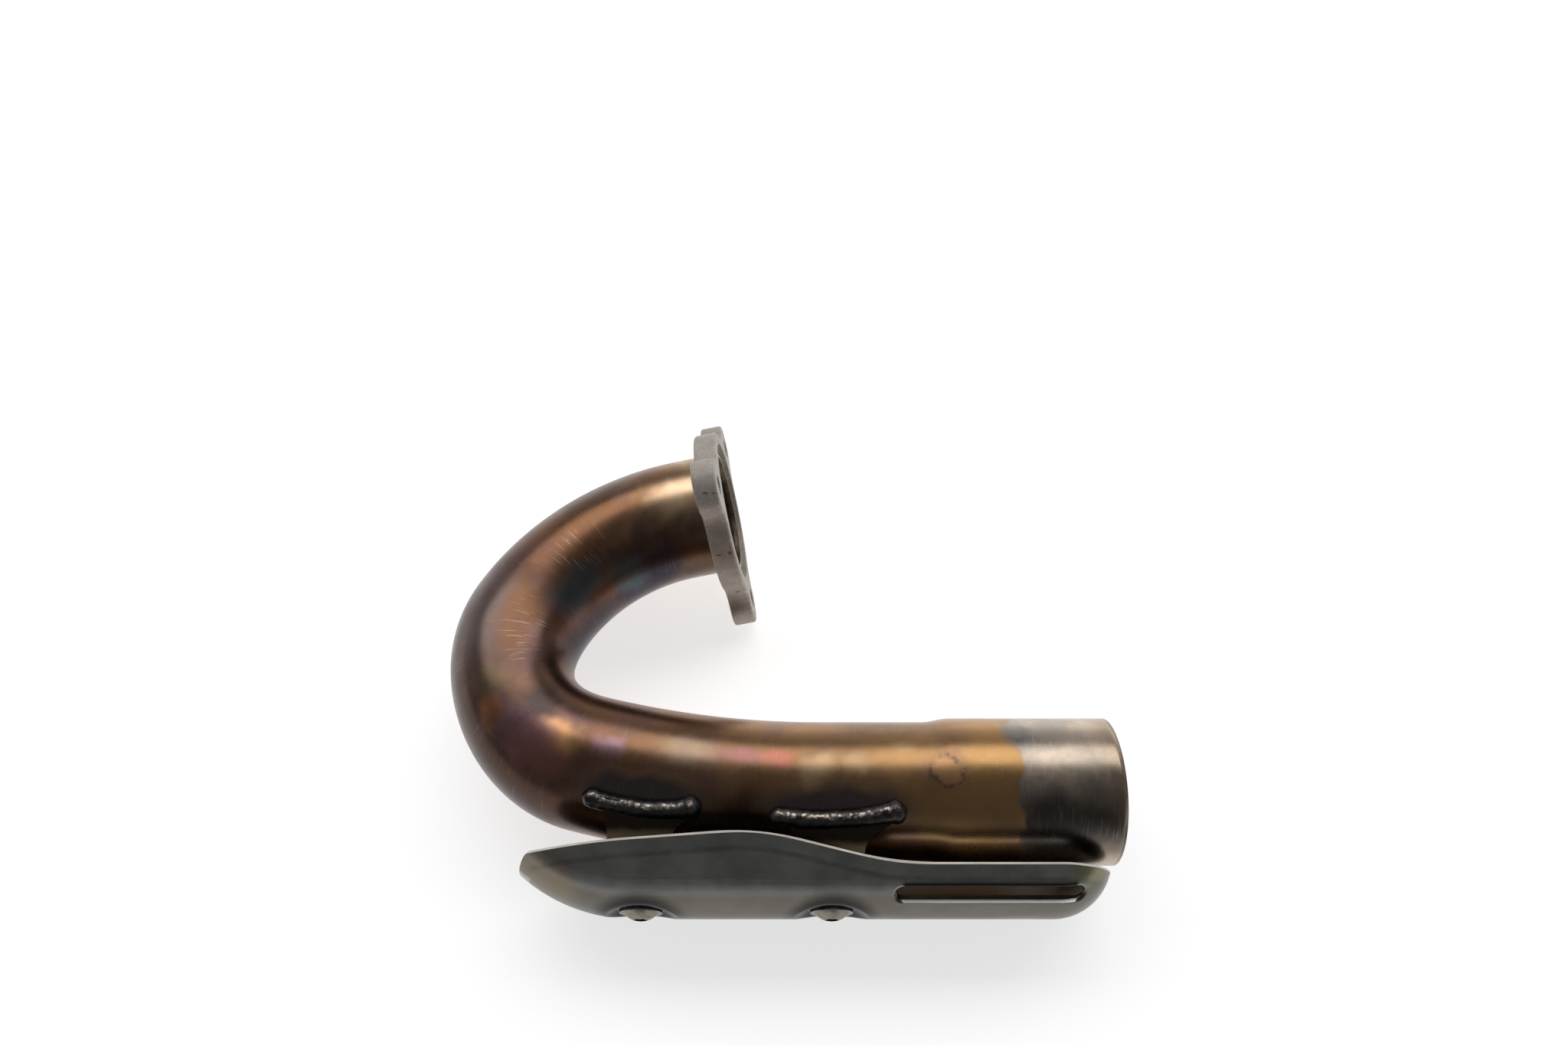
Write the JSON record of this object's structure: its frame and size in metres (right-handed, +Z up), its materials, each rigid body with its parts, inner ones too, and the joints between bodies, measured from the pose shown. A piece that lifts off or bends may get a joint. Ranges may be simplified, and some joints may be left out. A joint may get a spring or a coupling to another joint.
{
  "type": "motorcycle exhaust header",
  "caption": "Bent exhaust header pipe with a lobed head flange, an expanded round outlet and a slotted sheet heat shield screwed to welded brackets.",
  "frame": {"origin": "centre of the outlet mouth", "axes": "+X out of the outlet along the straight leg, +Y from the leg towards the head flange, +Z up as the header lies"},
  "size_m": [0.2246, 0.1934, 0.0808],
  "materials": {
    "tinted_tube": "satin, heat-tinted",
    "cast_flange": "blasted matt",
    "weld": "dark, rippled",
    "bracket": "satin, straw-tinted",
    "shield": "satin",
    "hardware": "satin"
  },
  "bodies": {
    "root": {"bend_end_bracket": "bracket", "bend_end_lower_weld": "weld", "bend_end_nut": "hardware", "bend_end_screw": "hardware", "bend_end_upper_weld": "weld", "flange_weld": "weld", "head_flange": "cast_flange", "header_tube": "tinted_tube", "heat_shield": "shield", "outlet_end_bracket": "bracket", "outlet_end_lower_weld": "weld", "outlet_end_nut": "hardware", "outlet_end_screw": "hardware", "outlet_end_upper_weld": "weld"}
  },
  "joints": []
}
